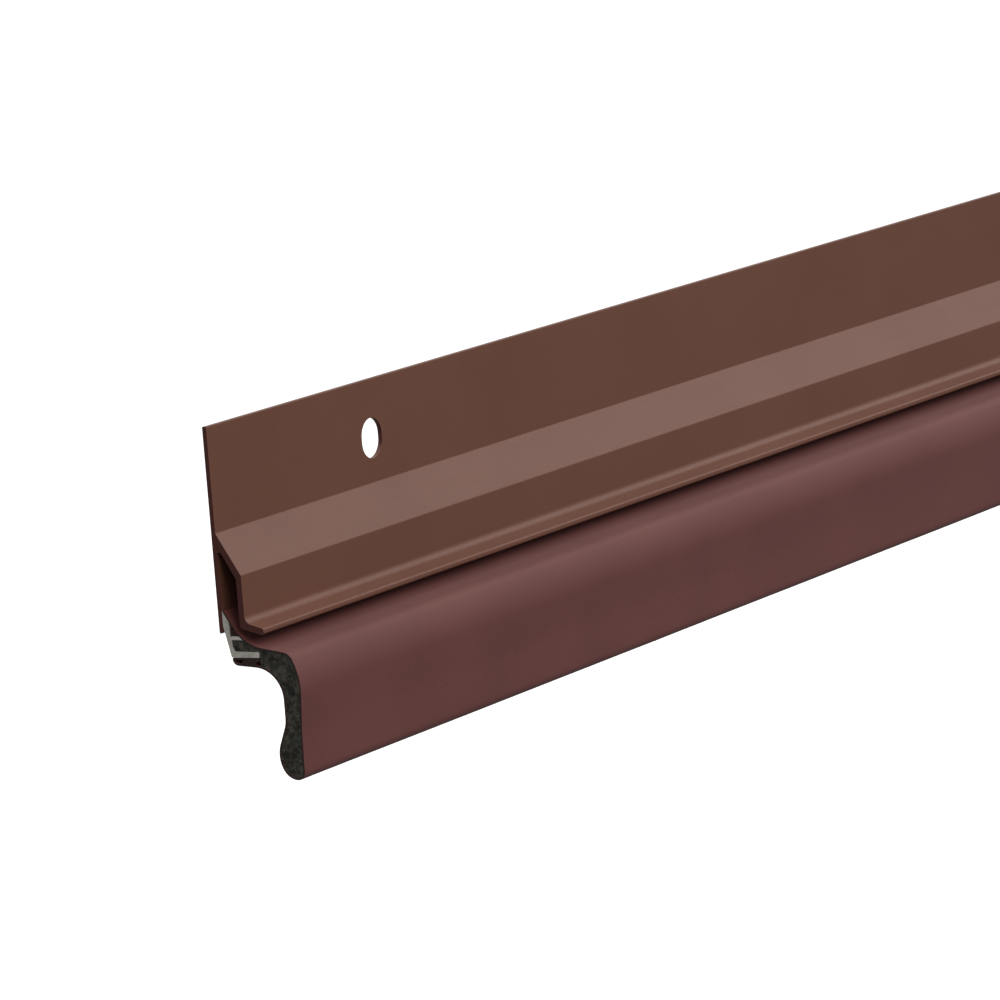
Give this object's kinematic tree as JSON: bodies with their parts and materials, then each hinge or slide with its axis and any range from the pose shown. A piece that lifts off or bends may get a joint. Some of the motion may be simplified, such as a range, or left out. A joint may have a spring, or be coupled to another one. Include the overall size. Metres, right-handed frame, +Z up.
{
  "type": "door sweep",
  "caption": "Screw-on door sweep: a slotted brown aluminium carrier with a hood and lip holds a film-wrapped foam seal whose hanging leaf flexes to close the gap under a door.",
  "frame": {"origin": "halfway along the carrier at the height of the screw slots, on the mounting face at the carrier's back", "axes": "+X along the sweep, +Y out of the carrier's back into the door, +Z up"},
  "size_m": [0.9144, 0.0169, 0.0646],
  "materials": {
    "brown_aluminium": "satin brown coating",
    "grey_plastic": "matte",
    "dark_foam": "matte open-cell cut face",
    "brown_film": "satin"
  },
  "bodies": {
    "carrier": {"carrier": "brown_aluminium", "insert": "grey_plastic", "foam_root": "dark_foam", "film_upper": "brown_film", "film_lower": "brown_film"},
    "leaf": {"foam_leaf": "dark_foam", "film_leaf": "brown_film"}
  },
  "joints": [
    {"name": "leaf_flex", "type": "hinge", "parent": "carrier", "child": "leaf", "pos_m": [0, -0.011, -0.0317], "axis": [1, 0, 0], "range_deg": [-25, 35], "stiffness_Nm_per_rad": 1}
  ]
}
